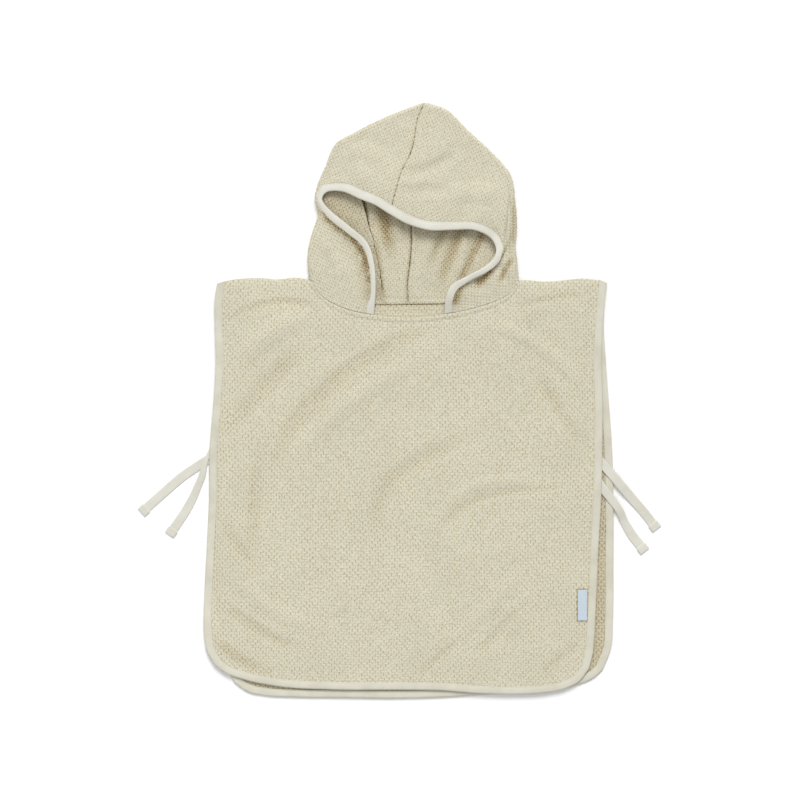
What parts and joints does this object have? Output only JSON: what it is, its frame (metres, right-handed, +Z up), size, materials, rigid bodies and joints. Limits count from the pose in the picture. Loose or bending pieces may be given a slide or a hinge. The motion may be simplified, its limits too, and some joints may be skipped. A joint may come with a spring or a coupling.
{
  "type": "hooded bath poncho",
  "caption": "Toddler's hooded bath poncho in looped terry with bound edges and side ties, laid flat with its hood open.",
  "frame": {"origin": "on the surface that the garment lies on, below the middle of its outline", "axes": "+X to the viewer's right, +Y from the hem to the hood, +Z up off the surface"},
  "size_m": [0.68, 0.7741, 0.0177],
  "materials": {
    "terry": "soft checked terry loops, undyed sand",
    "binding": "smooth matt jersey tape",
    "tie_tape": "smooth matt jersey tape",
    "label": "satin weave, bare"
  },
  "bodies": {
    "root": {"front_panel": "terry", "back_panel": "terry", "hood_left": "terry", "hood_right": "terry", "front_binding": "binding", "back_binding": "binding", "hood_binding": "binding", "tie_left_front": "tie_tape", "tie_left_back": "tie_tape", "tie_right_front": "tie_tape", "tie_right_back": "tie_tape", "label": "label"}
  },
  "joints": []
}
